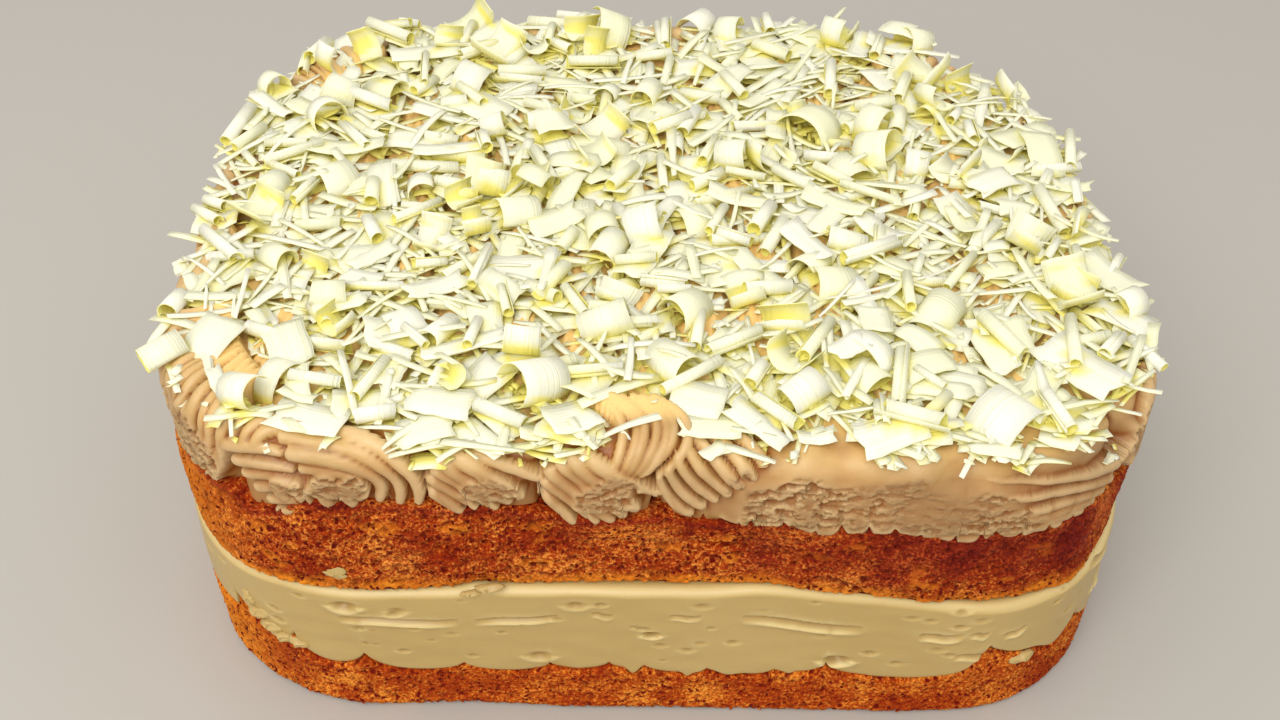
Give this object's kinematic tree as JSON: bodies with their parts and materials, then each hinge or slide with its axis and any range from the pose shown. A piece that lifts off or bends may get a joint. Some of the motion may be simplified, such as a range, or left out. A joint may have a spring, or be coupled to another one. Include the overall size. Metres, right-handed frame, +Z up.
{
  "type": "layer cake",
  "caption": "Round-cornered layer cake of sponge, thick custard cream and sponge, bordered and topped with piped coffee cream under a heap of white chocolate shavings.",
  "frame": {"origin": "on the surface that the cake stands on, under the middle of its outline", "axes": "+Z up, -Y towards the front long side that the picture shows, +X to the right seen from that side"},
  "size_m": [0.247, 0.1999, 0.105],
  "materials": {
    "sponge": "dry open crumb",
    "custard": "moist satin",
    "coffee_cream": "soft satin",
    "white_chocolate": "soft waxy satin"
  },
  "bodies": {
    "root": {"lower_sponge": "sponge", "custard_filling": "custard", "upper_sponge": "sponge", "coffee_cream_with_shavings": "coffee_cream"}
  },
  "joints": []
}
